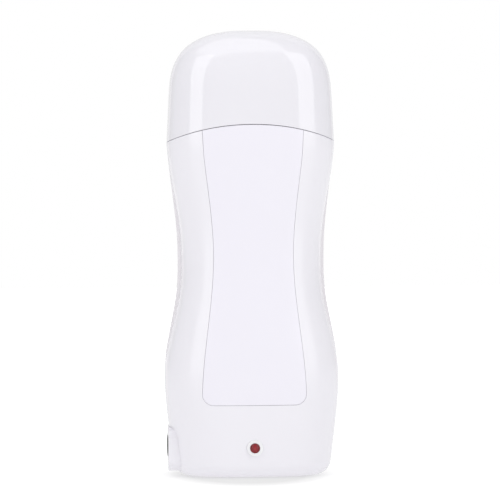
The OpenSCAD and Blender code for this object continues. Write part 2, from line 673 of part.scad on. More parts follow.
module link_wire() color("brown") wire(smooth_path([
    [fuse_end_x, fuse_y, fuse_z], [fuse_end_x + 1, fuse_y, fuse_z],
    [fuse_end_x + 3, fuse_y + 0.2, fuse_z - 2.5], [fuse_end_x + 1, heater_y + 0.4, fuse_z - 6],
    [heater_tab_x + 2, heater_y, fuse_z - 6.5], [heater_tab_x, heater_y, heater_top_z + 1.6],
    [heater_tab_x, heater_y, heater_top_z]]));
module neutral_wire() color("steelblue") wire(smooth_path([
    [tab_x, wire_y - tab_y, socket_z], [tab_x + 2, wire_y - tab_y, socket_z],
    [-10, 1, socket_z + 2], [-2, 7, socket_z + 5], [7, 12, board_top_z + 2.5],
    [11, well_back - 1.5, well_low_z - 22], [10, well_back, well_low_z - 10],
    [heater_tab_x, heater_y, heater_low_z - 4], [heater_tab_x, heater_y, heater_low_z]]));
module lamp_wires() color("gray") {
    wire(smooth_path([[tab_x, tab_y + lamp_wire_y, socket_z],
                      [tab_x + 2, tab_y + lamp_wire_y, socket_z],
                      [-13, -2, socket_z + 5], [-9.4, board_back_y + 3, socket_z + 2],
                      [-9.4, board_back_y, socket_z + 1.5]]), r = lamp_wire_r);
    wire(smooth_path([[tab_x, lamp_wire_y - tab_y, socket_z],
                      [tab_x + 2, lamp_wire_y - tab_y, socket_z],
                      [-11.5, -9, socket_z - 2], [-9.4, board_back_y + 2.5, socket_z - 2.5],
                      [-9.4, board_back_y, socket_z - 2.5]]), r = lamp_wire_r);
}

module wax_bottle() color([0.95, 0.9, 0.75]) difference() {
    rounded_box(bottle_w, bottle_d, bottle_r, bottle_z, head_z);
    rounded_box(bottle_w - 2 * bottle_wall, bottle_d - 2 * bottle_wall, bottle_r - bottle_wall,
                bottle_z + bottle_wall, head_z + 1);
}

module wax() color([0.9, 0.6, 0.25])
    rounded_box(bottle_w - 2 * bottle_wall - 0.1, bottle_d - 2 * bottle_wall - 0.1, bottle_r - bottle_wall,
                bottle_z + bottle_wall + 0.05, head_z - wax_room);

module roller_head() color("white") {
    plug_w = bottle_w - 2 * bottle_wall - 0.1;
    plug_d = bottle_d - 2 * bottle_wall - 0.1;
    plug_r = bottle_r - bottle_wall;
    difference() {
        union() {
            rounded_box(flange_w, flange_d, 12, head_z, head_z + flange_t);
            rounded_box(head_w, head_d, 9, head_z, head_z + head_h);
            rounded_box(plug_w, plug_d, plug_r, head_z - 8, head_z + 1);
            for (x = [-1, 1]) along_x(x > 0 ? roller_l / 2 + 0.4 : -roller_l / 2 - 0.4 - cheek_t,
                                      x > 0 ? roller_l / 2 + 0.4 + cheek_t : -roller_l / 2 - 0.4,
                                      0, roller_z, cheek_r);
        }
        rounded_box(plug_w - 2 * head_wall, plug_d - 2 * head_wall, plug_r - head_wall, head_z - 9, head_z);
        rounded_box(38, 12, 5.9, head_z - 1, head_z + 6);
        along_x(-roller_l / 2 - 0.4, roller_l / 2 + 0.4, 0, roller_z, roller_d / 2 + roller_gap);
        along_x(-roller_l / 2 - journal_l - 0.4, roller_l / 2 + journal_l + 0.4, 0, roller_z,
                journal_r + journal_gap);
    }
}

module roller() color("ivory") {
    along_x(-roller_l / 2, roller_l / 2, 0, roller_z, roller_d / 2);
    along_x(-roller_l / 2 - journal_l, roller_l / 2 + journal_l, 0, roller_z, journal_r);
}

rear_shell();
front_shell();
front_panel();
well_collar();
cap();
heating_well();
well_screws();
heater_film();
heater();
heater_spring();
thermal_fuse();
fuse_sleeve();
fuse_clip();
clip_screw();
inlet_block();
inlet_socket();
inlet_pins();
lamp();
lamp_ring();
lamp_leads();
lamp_board();
board_resistors();
board_diode();
board_screws();
shell_screws();
live_wire();
link_wire();
neutral_wire();
lamp_wires();
wax_bottle();
wax();
roller_head();
roller();
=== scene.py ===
import math
import bpy
import bmesh
from mathutils import Matrix, Vector


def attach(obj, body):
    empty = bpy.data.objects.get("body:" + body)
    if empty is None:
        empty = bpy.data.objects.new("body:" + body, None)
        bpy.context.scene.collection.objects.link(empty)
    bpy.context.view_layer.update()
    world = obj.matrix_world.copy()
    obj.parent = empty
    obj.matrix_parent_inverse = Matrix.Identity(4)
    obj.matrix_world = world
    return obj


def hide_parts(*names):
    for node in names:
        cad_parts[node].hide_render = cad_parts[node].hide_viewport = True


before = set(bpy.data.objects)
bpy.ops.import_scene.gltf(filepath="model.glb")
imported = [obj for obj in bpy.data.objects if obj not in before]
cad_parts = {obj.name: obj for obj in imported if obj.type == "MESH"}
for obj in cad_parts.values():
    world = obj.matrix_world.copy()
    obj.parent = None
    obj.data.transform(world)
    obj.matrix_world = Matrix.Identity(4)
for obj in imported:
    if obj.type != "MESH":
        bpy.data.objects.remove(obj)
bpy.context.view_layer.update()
mm = 0.001
# how near two points are taken to be in one place, in metres: close for most work, closest for turned pieces
close = 0.00001
closest = 0.000002
flatAngle = 0.6
print("frame loaded:", len(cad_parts), "nodes")


# Small helpers for working in object and edit mode

def pickOnly(*pieces):
    bpy.ops.object.select_all(action="DESELECT")
    for piece in pieces:
        piece.select_set(True)
    bpy.context.view_layer.objects.active = pieces[0]


def editMode(piece):
    pickOnly(piece)
    bpy.ops.object.mode_set(mode="EDIT")
    bpy.ops.mesh.select_mode(type="VERT")
    bpy.ops.mesh.select_all(action="DESELECT")


def objectMode():
    bpy.ops.object.mode_set(mode="OBJECT")


def selectPoints(piece, test):
    bpy.ops.mesh.select_mode(type="VERT")
    mesh = bmesh.from_edit_mesh(piece.data)
    for vert in mesh.verts:
        vert.select_set(test(vert.co))
    mesh.select_flush_mode()
    bmesh.update_edit_mesh(piece.data)


def selectEdges(piece, test):
    bpy.ops.mesh.select_mode(type="EDGE")
    mesh = bmesh.from_edit_mesh(piece.data)
    for edge in mesh.edges:
        edge.select_set(test(edge))
    mesh.select_flush_mode()
    bmesh.update_edit_mesh(piece.data)


def applyModifier(piece, kind, **values):
    pickOnly(piece)
    modifier = piece.modifiers.new(kind.lower(), kind)
    for key, value in values.items():
        setattr(modifier, key, value)
    bpy.ops.object.modifier_apply(modifier=modifier.name)


def smoothByAngle(piece, degrees=35):
    pickOnly(piece)
    bpy.ops.object.shade_smooth_by_angle(angle=math.radians(degrees))


def applyPlace(piece):
    pickOnly(piece)
    bpy.ops.object.transform_apply(location=True, rotation=True, scale=True)


def copyOf(piece, name):
    pickOnly(piece)
    bpy.ops.object.duplicate()
    twin = bpy.context.object
    twin.name = name
    return twin


def remove(*pieces):
    for piece in pieces:
        bpy.data.objects.remove(piece)


def carve(piece, cutters, operation="DIFFERENCE"):
    for cutter in cutters:
        applyModifier(piece, "BOOLEAN", operation=operation, object=cutter, solver="EXACT")
    remove(*cutters)


def straight(start, end, radius):
    # a stretch of a turned profile that keeps its radius
    return [(start, radius), (end, radius)]


def addTurned(name, origin, axis, profile, steps=48, ring=False):
    # a circle drawn out along its axis; each point of the profile is (along, radius) in millimetres
    along, radius = profile[0]
    bpy.ops.mesh.primitive_circle_add(vertices=steps, radius=radius * mm, location=(0, 0, along * mm))
    piece = bpy.context.object
    piece.name = name
    applyPlace(piece)
    bpy.ops.object.mode_set(mode="EDIT")
    bpy.ops.mesh.select_all(action="SELECT")
    for nextAlong, nextRadius in profile[1:]:
        bpy.ops.mesh.extrude_region_move(TRANSFORM_OT_translate={"value": (0, 0, (nextAlong - along) * mm)})
        grow = nextRadius / radius
        bpy.ops.transform.resize(value=(grow, grow, 1), center_override=(0, 0, 0))
        along, radius = nextAlong, nextRadius
    if ring:
        bpy.ops.mesh.select_all(action="SELECT")
        bpy.ops.mesh.remove_doubles(threshold=closest)
    else:
        bpy.ops.mesh.edge_face_add()
        selectPoints(piece, lambda co: abs(co.z - profile[0][0] * mm) < closest
                     and co.xy.length < profile[0][1] * mm + closest)
        bpy.ops.mesh.edge_face_add()
    bpy.ops.mesh.select_all(action="SELECT")
    bpy.ops.mesh.normals_make_consistent(inside=False)
    objectMode()
    piece.rotation_euler = (math.radians({"+Y": -90, "-Y": 90}[axis]), 0, 0)
    piece.location = [value * mm for value in origin]
    applyPlace(piece)
    return piece


def addRoundedBlock(name, low, high, corner, segments):
    # a box whose four edges along X are rounded
    bpy.ops.mesh.primitive_cube_add(size=1, location=[(a + b) / 2 * mm for a, b in zip(low, high)])
    block = bpy.context.object
    block.name = name
    block.scale = [(b - a) * mm for a, b in zip(low, high)]
    applyPlace(block)
    editMode(block)
    selectEdges(block, lambda edge: abs(edge.verts[0].co.x - edge.verts[1].co.x) > close)
    bpy.ops.mesh.bevel(offset=corner * mm, segments=segments, profile=0.5, affect="EDGES")
    objectMode()
    return block


def soften(piece, width, segments=2, degrees=40):
    applyModifier(piece, "BEVEL", width=width * mm, segments=segments, limit_method="ANGLE",
                  angle_limit=math.radians(degrees), use_clamp_overlap=True, harden_normals=False)


def cleanCopy(node, name):
    # a tidy copy of a solid: its loose triangles are merged and flat faces made whole
    twin = copyOf(bpy.data.objects[node], name)
    editMode(twin)
    bpy.ops.mesh.select_all(action="SELECT")
    bpy.ops.mesh.remove_doubles(threshold=close)
    bpy.ops.mesh.dissolve_limited(angle_limit=math.radians(flatAngle))
    objectMode()
    return twin


def fit(piece, node, body, slot, finish=None, degrees=35):
    # the piece stands for its solid, rides on a body and takes its finish
    smoothByAngle(piece, degrees)
    applyModifier(piece, "WEIGHTED_NORMAL", mode="FACE_AREA", weight=50, keep_sharp=True)
    piece.data.materials.clear()
    piece.data.materials.append(finishes[finish or slot])
    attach(piece, body)
    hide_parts(node)


# The warmer's outline, in millimetres from the middle of the base

outline = {
    "widths": (72.6, 80, 67.0, 76.6),
    "depths": (53, 58, 53, 57),
    "baseEdge": 7,
    "bulgeZ": 46.5,
    "waistLow": 92.1,
    "waistHigh": 101.5,
    "seamZ": 151.8,
    "seamRise": 7,
    "seamGap": 0.25,
    "baseFlare": 0.1,
    "seamFlare": 0.06,
    "capTaper": 0.049,
    "crownZ": 203.0,
    "domeH": 30,
    "domeRise": 3,
    "domePower": 2.6,
    "lowPower": 2.6,
    "highPower": 3,
    "segments": 12,
    "edgeAngles": (0, 22.5, 45, 67.5),
    "bodyRows": 18,
    "seamRows": 3,
    "bendRoom": 8,
    "bendStart": 2,
    "floorInset": 6,
    "sideStep": 1.7,
    "stepZ": 94.6,
    "stepReach": 44,
}
domeZ = outline["crownZ"] - outline["domeH"]
bendZ = outline["seamZ"] - outline["bendRoom"]


def ease(t):
    return t * t * (3 - 2 * t)


def flowing(t, span, start, end, startSlope, endSlope):
    bulge = startSlope * t * (1 - t) ** 2 - endSlope * t * t * (1 - t)
    return start + (end - start) * ease(t) + span * bulge


def halfSize(z, sizes):
    o = outline
    base, bulge, waist, seam = [size / 2 for size in sizes]
    if z < o["baseEdge"]:
        r = o["baseEdge"]
        return base - r + math.sqrt(r * r - (r - z) ** 2)
    if z < o["bulgeZ"]:
        span = o["bulgeZ"] - o["baseEdge"]
        return flowing((z - o["baseEdge"]) / span, span, base, bulge, o["baseFlare"], 0)
    if z < o["waistLow"]:
        return bulge + (waist - bulge) * ease((z - o["bulgeZ"]) / (o["waistLow"] - o["bulgeZ"]))
    if z < o["waistHigh"]:
        return waist
    if z < o["seamZ"]:
        span = o["seamZ"] - o["waistHigh"]
        return flowing((z - o["waistHigh"]) / span, span, waist, seam, 0, o["seamFlare"])
    side = seam - o["capTaper"] * (z - o["seamZ"])
    if z < domeZ:
        return side
    rise = ((z - domeZ) / o["domeH"]) ** o["domeRise"]
    return side * max(0, 1 - rise) ** (1 / o["domePower"])


def halfWidth(z):
    return halfSize(z, outline["widths"])


def halfDepth(z):
    return halfSize(z, outline["depths"])


def stepBack(z):
    return outline["sideStep"] * max(0, 1 - ((z - outline["stepZ"]) / outline["stepReach"]) ** 2)


def archHeight(x):
    half, rise = outline["widths"][3] / 2, outline["seamRise"]
    r = (half ** 2 + rise ** 2) / (2 * rise)
    return outline["seamZ"] - r + rise + math.sqrt(r * r - min(abs(x), half) ** 2)


def bendBelow(z):
    return 0 if z < bendZ else ease(min(1, (z - bendZ) / (outline["seamZ"] - bendZ)))


def bendAbove(z):
    return 0 if z > domeZ else ease((domeZ - z) / (domeZ - outline["seamZ"]))


def evenly(low, high, count):
    return [low + (high - low) * i / count for i in range(count + 1)]


# A loft: two closed outlines are bridged, then each ring between them gets its own size and height

parkingZ = -2.0
parkingStep = 0.1
parkingFront = -0.1


def addOutlineRing(power, z):
    bpy.ops.mesh.primitive_plane_add(size=2, location=(0, 0, z))
    ring = bpy.context.object
    bpy.ops.object.mode_set(mode="EDIT")
    bpy.ops.mesh.select_all(action="SELECT")
    bpy.ops.mesh.bevel(offset_type="PERCENT", offset_pct=50, segments=outline["segments"],
                       profile=2 ** (-2 / power), affect="VERTICES")
    bpy.ops.mesh.select_all(action="SELECT")
    bpy.ops.mesh.remove_doubles(threshold=0.0001)
    bpy.ops.mesh.delete(type="ONLY_FACE")
    objectMode()
    return ring


def addLoft(name, levels, lowPower, highPower):
    # each level is (height, half width, half depth, bend towards the arch)
    last = len(levels) - 1
    low = addOutlineRing(lowPower, parkingZ)
    high = addOutlineRing(highPower, parkingZ - parkingStep * last)
    pickOnly(low, high)
    bpy.ops.object.join()
    loft = bpy.context.object
    loft.name = name
    applyPlace(loft)
    editMode(loft)
    bpy.ops.mesh.select_all(action="SELECT")
    bpy.ops.mesh.bridge_edge_loops(number_cuts=last - 1, interpolation="LINEAR")
    for i, (z, width, depth, bend) in enumerate(levels):
        parked = parkingZ - parkingStep * i
        selectPoints(loft, lambda co: abs(co.z - parked) < parkingStep / 2)
        bpy.ops.transform.resize(value=(width * mm, depth * mm, 1), center_override=(0, 0, parked))
        if bend > 0:
            archRing(loft, parked, z, bend)
            selectPoints(loft, lambda co: abs(co.z - parked) < parkingStep / 2)
        bpy.ops.transform.translate(value=(0, 0, z * mm - parked))
    bpy.ops.mesh.select_all(action="SELECT")
    bpy.ops.mesh.normals_make_consistent(inside=False)
    objectMode()
    return loft


def archRing(loft, parked, z, bend):
    # each pair of points rises with the arch and keeps to the outline at its new height
    near = lambda co: abs(co.z - parked) < parkingStep / 2
    mesh = bmesh.from_edit_mesh(loft.data)
    for x in sorted({round(abs(v.co.x), 6) for v in mesh.verts if near(v.co)}):
        lift = bend * (archHeight(x / mm) - outline["seamZ"])
        selectPoints(loft, lambda co: abs(abs(co.x) - x) < close and near(co))
        bpy.ops.transform.resize(value=(halfWidth(z + lift) / halfWidth(z), halfDepth(z + lift) / halfDepth(z), 1),
                                 center_override=(0, 0, parked))
        bpy.ops.transform.translate(value=(0, 0, lift * mm))


def closeEnd(piece, z, inset=0):
    editMode(piece)
    selectPoints(piece, lambda co: abs(co.z - z) < close)
    bpy.ops.mesh.edge_face_add()
    if inset:
        bpy.ops.mesh.inset(thickness=inset)
        bpy.ops.mesh.inset(thickness=inset)
    bpy.ops.mesh.poke()
    objectMode()


# Finishes: effects that several of them share come first, as node groups

def newEffect(name, inputs, outputs):
    group = bpy.data.node_groups.new(name, "ShaderNodeTree")
    for label, kind, value in inputs:
        socket = group.interface.new_socket(name=label, in_out="INPUT", socket_type="NodeSocket" + kind)
        socket.default_value = value
    for label, kind in outputs:
        group.interface.new_socket(name=label, in_out="OUTPUT", socket_type="NodeSocket" + kind)
    return group, group.nodes.new("NodeGroupInput"), group.nodes.new("NodeGroupOutput")


def place(tree, kind, x, y, **values):
    node = tree.nodes.new("ShaderNode" + kind)
    node.location = (x, y)
    for key, value in values.items():
        if hasattr(node, key):
            setattr(node, key, value)
        else:
            node.inputs[key.replace("_", " ")].default_value = value
    return node


def join(tree, *pairs):
    for start, end in pairs:
        tree.links.new(start, end)


def mixColours(tree, x, y):
    # gives the share, the two colours and the result
    node = place(tree, "Mix", x, y)
    node.data_type = "RGBA"
    return node.inputs[0], node.inputs[6], node.inputs[7], node.outputs[2]


def mapped(tree, value, low, high, x, y, start=0.0, end=1.0):
    node = place(tree, "MapRange", x, y)
    node.inputs[1].default_value = low
    node.inputs[2].default_value = high
    for index, limit in ((3, start), (4, end)):
        if isinstance(limit, float):
            node.inputs[index].default_value = limit
        else:
            tree.links.new(limit, node.inputs[index])
    tree.links.new(value, node.inputs[0])
    return node.outputs[0]


def summed(tree, operation, first, second, x, y):
    node = place(tree, "Math", x, y, operation=operation)
    for socket, value in zip(node.inputs, (first, second)):
        if isinstance(value, (int, float)):
            socket.default_value = value
        else:
            tree.links.new(value, socket)
    return node.outputs[0]


def makeMouldedEffect():
    # moulded plastic: slow clouding from the melt, fine grain and a roughness that wanders
    group, start, end = newEffect("mouldedPlastic", [
        ("Colour", "Color", (0.8, 0.8, 0.8, 1)), ("Cloud", "Color", (0.75, 0.75, 0.75, 1)),
        ("Cloud Size", "Float", 30.0), ("Grain Size", "Float", 2500.0), ("Roughness", "Float", 0.3),
        ("Roughness Spread", "Float", 0.05)], [("Colour", "Color"), ("Roughness", "Float"), ("Height", "Float")])
    where = place(group, "TexCoord", -900, 0)
    cloud = place(group, "TexNoise", -600, 200, Detail=3.0, Roughness=0.55)
    grain = place(group, "TexNoise", -600, -100, Detail=2.0, Roughness=0.6)
    smear = place(group, "TexNoise", -600, -350, Detail=4.0, Roughness=0.6, Scale=90.0)
    join(group, (where.outputs["Object"], cloud.inputs["Vector"]), (where.outputs["Object"], grain.inputs["Vector"]),
         (where.outputs["Object"], smear.inputs["Vector"]),
         (start.outputs["Cloud Size"], cloud.inputs["Scale"]), (start.outputs["Grain Size"], grain.inputs["Scale"]))
    factor, first, second, result = mixColours(group, -150, 200)
    join(group, (start.outputs["Colour"], first), (start.outputs["Cloud"], second),
         (mapped(group, cloud.outputs["Fac"], 0.35, 0.7, -380, 250), factor), (result, end.inputs["Colour"]))
    wander = mapped(group, smear.outputs["Fac"], 0.3, 0.7, -380, -350, -1.0, 1.0)
    spread = summed(group, "MULTIPLY", wander, start.outputs["Roughness Spread"], -200, -350)
    rough = summed(group, "ADD", start.outputs["Roughness"], spread, -50, -300)
    join(group, (rough, end.inputs["Roughness"]), (grain.outputs["Fac"], end.inputs["Height"]))
    return group


def makeBrushedEffect():
    # drawn or machined metal: long fine lines along one direction, with dull patches
    group, start, end = newEffect("brushedMetal", [
        ("Colour", "Color", (0.7, 0.7, 0.7, 1)), ("Dull", "Color", (0.5, 0.5, 0.5, 1)),
        ("Stretch", "Vector", (1.0, 1.0, 0.02)), ("Line Size", "Float", 3000.0), ("Roughness", "Float", 0.35),
        ("Roughness Spread", "Float", 0.1)], [("Colour", "Color"), ("Roughness", "Float"), ("Height", "Float")])
    where = place(group, "TexCoord", -900, 0)
    stretch = place(group, "Mapping", -700, 0)
    lines = place(group, "TexNoise", -500, 0, Detail=3.0)
    patch = place(group, "TexNoise", -500, 300, Detail=4.0, Scale=120.0)
    join(group, (where.outputs["Object"], stretch.inputs["Vector"]),
         (start.outputs["Stretch"], stretch.inputs["Scale"]),
         (stretch.outputs["Vector"], lines.inputs["Vector"]), (start.outputs["Line Size"], lines.inputs["Scale"]),
         (where.outputs["Object"], patch.inputs["Vector"]))
    factor, first, second, result = mixColours(group, -100, 200)
    both = summed(group, "MULTIPLY", mapped(group, patch.outputs["Fac"], 0.35, 0.75, -300, 300),
                  mapped(group, lines.outputs["Fac"], 0.2, 0.8, -300, 50, 0.4, 1.0), -200, 150)
    join(group, (start.outputs["Colour"], first), (start.outputs["Dull"], second), (both, factor),
         (result, end.inputs["Colour"]))
    wander = mapped(group, lines.outputs["Fac"], 0.3, 0.7, -300, -200, -1.0, 1.0)
    spread = summed(group, "MULTIPLY", wander, start.outputs["Roughness Spread"], -150, -200)
    join(group, (summed(group, "ADD", start.outputs["Roughness"], spread, 0, -200), end.inputs["Roughness"]),
         (lines.outputs["Fac"], end.inputs["Height"]))
    return group


def makeWeaveEffect():
    # a braided sleeve: two families of threads that cross over its round
    group, start, end = newEffect("braid", [
        ("Thread", "Color", (0.8, 0.78, 0.7, 1)), ("Gap", "Color", (0.3, 0.28, 0.22, 1)),
        ("Threads", "Float", 600.0)], [("Colour", "Color"), ("Height", "Float")])
    where = place(group, "TexCoord", -900, 0)
    heights = []
    for side, y in ((1, 150), (-1, -150)):
        turn = place(group, "Mapping", -700, y)
        turn.inputs["Rotation"].default_value = (0, math.radians(45 * side), math.radians(45 * side))
        wave = place(group, "TexWave", -500, y, Distortion=0.6, Detail=1.0)
        join(group, (where.outputs["Object"], turn.inputs["Vector"]), (turn.outputs["Vector"], wave.inputs["Vector"]),
             (start.outputs["Threads"], wave.inputs["Scale"]))
        heights.append(wave.outputs["Fac"])
    height = summed(group, "MAXIMUM", heights[0], heights[1], -300, 0)
    factor, first, second, result = mixColours(group, -100, 100)
    join(group, (start.outputs["Gap"], first), (start.outputs["Thread"], second), (height, factor),
         (result, end.inputs["Colour"]), (height, end.inputs["Height"]))
    return group


effects = {"moulded": makeMouldedEffect(), "brushed": makeBrushedEffect(), "braid": makeWeaveEffect()}
finishes = {}


def newFinish(name, effect, values, surface, bump=0.0):
    # a material: one effect feeds colour, roughness and bump, and the rest stands on the shader itself
    material = bpy.data.materials.new(name)
    material.use_nodes = True
    tree = material.node_tree
    shader = tree.nodes["Principled BSDF"]
    for key, value in surface.items():
        shader.inputs[key].default_value = value
    group = place(tree, "Group", -500, 0, node_tree=effects[effect])
    for key, value in values.items():
        group.inputs[key].default_value = value
    join(tree, (group.outputs["Colour"], shader.inputs["Base Color"]))
    if "Roughness" in group.outputs:
        join(tree, (group.outputs["Roughness"], shader.inputs["Roughness"]))
    if bump:
        relief = place(tree, "Bump", -200, -250, Strength=0.5, Distance=bump * mm)
        join(tree, (group.outputs["Height"], relief.inputs["Height"]),
             (relief.outputs["Normal"], shader.inputs["Normal"]))
    finishes[name] = material
    return tree, shader, group


plastics = {
    # name: (colour, cloud colour, grain size, roughness, spread, bump in mm, coat)
    "cap_white": ((0.826, 0.815, 0.862), (0.818, 0.806, 0.854), 1800, 0.05, 0.012, 0.0005, 0.3),
    "shell_white": ((0.846, 0.833, 0.882), (0.838, 0.824, 0.874), 1800, 0.24, 0.03, 0.001, 0.12),
    "rear_white": ((0.862, 0.842, 0.862), (0.853, 0.833, 0.853), 1800, 0.18, 0.03, 0.001, 0.2),
    "panel_white": ((0.855, 0.838, 0.908), (0.848, 0.83, 0.90), 2400, 0.36, 0.03, 0.004, 0.0),
    "collar_white": ((0.80, 0.775, 0.87), (0.775, 0.75, 0.845), 1500, 0.42, 0.04, 0.006, 0.0),
    "head_white": ((0.82, 0.82, 0.83), (0.80, 0.80, 0.81), 1500, 0.3, 0.04, 0.004, 0.1),
    "roller_white": ((0.84, 0.835, 0.80), (0.82, 0.812, 0.775), 1500, 0.22, 0.04, 0.003, 0.1),
    "ring_white": ((0.86, 0.86, 0.88), (0.85, 0.85, 0.87), 1800, 0.2, 0.03, 0.002, 0.2),
    "socket_black": ((0.022, 0.022, 0.024), (0.034, 0.034, 0.036), 2600, 0.45, 0.06, 0.01, 0.0),
    "diode_black": ((0.015, 0.015, 0.016), (0.03, 0.03, 0.03), 4000, 0.4, 0.05, 0.006, 0.0),
    "bottle_cream": ((0.83, 0.76, 0.60), (0.80, 0.72, 0.545), 1500, 0.28, 0.05, 0.004, 0.1),
    "wire_brown": ((0.17, 0.06, 0.022), (0.13, 0.045, 0.017), 1500, 0.38, 0.06, 0.004, 0.0),
    "wire_blue": ((0.04, 0.12, 0.42), (0.032, 0.10, 0.35), 1500, 0.38, 0.06, 0.004, 0.0),
    "wire_grey": ((0.36, 0.36, 0.37), (0.30, 0.30, 0.31), 1500, 0.38, 0.06, 0.004, 0.0),
    "film_amber": ((0.62, 0.26, 0.03), (0.50, 0.19, 0.02), 1200, 0.18, 0.05, 0.003, 0.3),
    "heater_ceramic": ((0.40, 0.36, 0.31), (0.27, 0.24, 0.20), 3500, 0.6, 0.08, 0.02, 0.0),
}
coatRoughness = 0.04
for name, (colour, cloud, grain, rough, spread, bump, coat) in plastics.items():
    newFinish(name, "moulded", {"Colour": (*colour, 1), "Cloud": (*cloud, 1), "Grain Size": grain,
                                "Roughness": rough, "Roughness Spread": spread},
              {"Coat Weight": coat, "Coat Roughness": coatRoughness}, bump)
metals = {
    # name: (colour, dull colour, stretch, line size, roughness, spread, bump in mm)
    "well_aluminium": ((0.80, 0.80, 0.81), (0.62, 0.62, 0.63), (1, 1, 0.03), 1800, 0.38, 0.1, 0.006),
    "screw_steel": ((0.55, 0.55, 0.56), (0.36, 0.36, 0.37), (1, 0.06, 1), 2600, 0.32, 0.1, 0.004),
    "spring_steel": ((0.58, 0.58, 0.58), (0.34, 0.36, 0.42), (0.03, 1, 1), 2600, 0.3, 0.1, 0.004),
    "fuse_metal": ((0.78, 0.76, 0.70), (0.55, 0.53, 0.48), (0.05, 1, 1), 3000, 0.28, 0.08, 0.003),
    "pin_nickel": ((0.72, 0.68, 0.60), (0.55, 0.52, 0.46), (0.04, 1, 1), 2400, 0.2, 0.08, 0.003),
    "lead_tin": ((0.70, 0.70, 0.69), (0.52, 0.52, 0.51), (1, 0.05, 1), 2400, 0.35, 0.08, 0.003),
}
for name, (colour, dull, stretch, lines, rough, spread, bump) in metals.items():
    newFinish(name, "brushed", {"Colour": (*colour, 1), "Dull": (*dull, 1), "Stretch": stretch, "Line Size": lines,
                                "Roughness": rough, "Roughness Spread": spread}, {"Metallic": 1.0}, bump)
newFinish("sleeve_fabric", "braid", {"Thread": (0.80, 0.76, 0.64, 1), "Gap": (0.32, 0.29, 0.22, 1), "Threads": 700},
          {"Roughness": 0.75, "Sheen Weight": 0.2}, 0.15)
newFinish("wax_honey", "moulded", {"Colour": (0.80, 0.42, 0.10, 1), "Cloud": (0.62, 0.26, 0.045, 1), "Cloud Size": 90,
                                   "Grain Size": 600, "Roughness": 0.28, "Roughness Spread": 0.1},
          {"Subsurface Weight": 0.35, "Subsurface Radius": (0.006, 0.003, 0.001), "Subsurface Scale": 1.0}, 0.05)


# in metres: the lamp's height, and how far the painted glow, a lighter middle, reaches from its axis
lampPaintedGlow = {"height": 0.0137, "near": 0.0003, "far": 0.0017, "share": 0.5, "colour": (0.38, 0.05, 0.055, 1)}


def makeLampFinish():
    # a red lens over a small element, with darker mottles; its middle is painted lighter, a painted glow
    tree, shader, group = newFinish("lamp_red", "moulded", {
        "Colour": (0.25, 0.012, 0.018, 1), "Cloud": (0.12, 0.005, 0.01, 1), "Cloud Size": 900, "Grain Size": 3000,
        "Roughness": 0.14, "Roughness Spread": 0.04}, {"Specular IOR Level": 0.3, "Coat Weight": 0.1}, 0.004)
    where = place(tree, "TexCoord", -1300, 300)
    centre = place(tree, "Mapping", -1100, 300)
    centre.inputs["Location"].default_value = (0, 0, -lampPaintedGlow["height"])
    centre.inputs["Scale"].default_value = (1, 0, 1)
    reach = place(tree, "VectorMath", -900, 300, operation="LENGTH")
    # painted glow: the lens colour turns lighter towards its axis
    glow = mapped(tree, reach.outputs["Value"], lampPaintedGlow["near"], lampPaintedGlow["far"], -700, 300, 1.0, 0.0)
    factor, first, second, result = mixColours(tree, -250, 250)
    second.default_value = lampPaintedGlow["colour"]
    weaker = summed(tree, "MULTIPLY", glow, lampPaintedGlow["share"], -450, 300)
    join(tree, (where.outputs["Object"], centre.inputs["Vector"]), (centre.outputs["Vector"], reach.inputs[0]),
         (weaker, factor), (group.outputs["Colour"], first), (result, shader.inputs["Base Color"]))


boardTracks = {"width": 0.0006, "length": 0.0085, "spacing": 0.0045, "colour": (0.62, 0.60, 0.56, 1)}


def makeBoardFinish():
    # paper laminate with wide tinned tracks across it
    tree, shader, group = newFinish("board_tan", "moulded", {
        "Colour": (0.50, 0.36, 0.17, 1), "Cloud": (0.40, 0.27, 0.12, 1), "Cloud Size": 500, "Grain Size": 5000,
        "Roughness": 0.5, "Roughness Spread": 0.08}, {}, 0.01)
    where = place(tree, "TexCoord", -1300, 300)
    tracks = place(tree, "TexBrick", -900, 300, Scale=1.0)
    tracks.inputs["Color1"].default_value = (0, 0, 0, 1)
    tracks.inputs["Color2"].default_value = (0, 0, 0, 1)
    tracks.inputs["Mortar"].default_value = (1, 1, 1, 1)
    tracks.inputs["Mortar Size"].default_value = boardTracks["width"]
    tracks.inputs["Brick Width"].default_value = boardTracks["length"]
    tracks.inputs["Row Height"].default_value = boardTracks["spacing"]
    turn = place(tree, "Mapping", -1100, 300)
    turn.inputs["Rotation"].default_value = (math.radians(90), 0, 0)
    factor, first, second, result = mixColours(tree, -250, 250)
    second.default_value = boardTracks["colour"]
    join(tree, (where.outputs["Object"], turn.inputs["Vector"]), (turn.outputs["Vector"], tracks.inputs["Vector"]),
         (tracks.outputs["Color"], factor), (group.outputs["Colour"], first), (result, shader.inputs["Base Color"]),
         (tracks.outputs["Color"], shader.inputs["Metallic"]))


# half a body's length in metres, and where along it each band or bare stretch starts
resistorBands = {"half": 0.0032, "stops": (
    (0.0, None), (0.2, (0.25, 0.02, 0.015)), (0.29, None), (0.38, (0.04, 0.02, 0.01)), (0.47, None),
    (0.56, (0.5, 0.12, 0.01)), (0.65, None), (0.8, (0.45, 0.3, 0.07)), (0.88, None))}


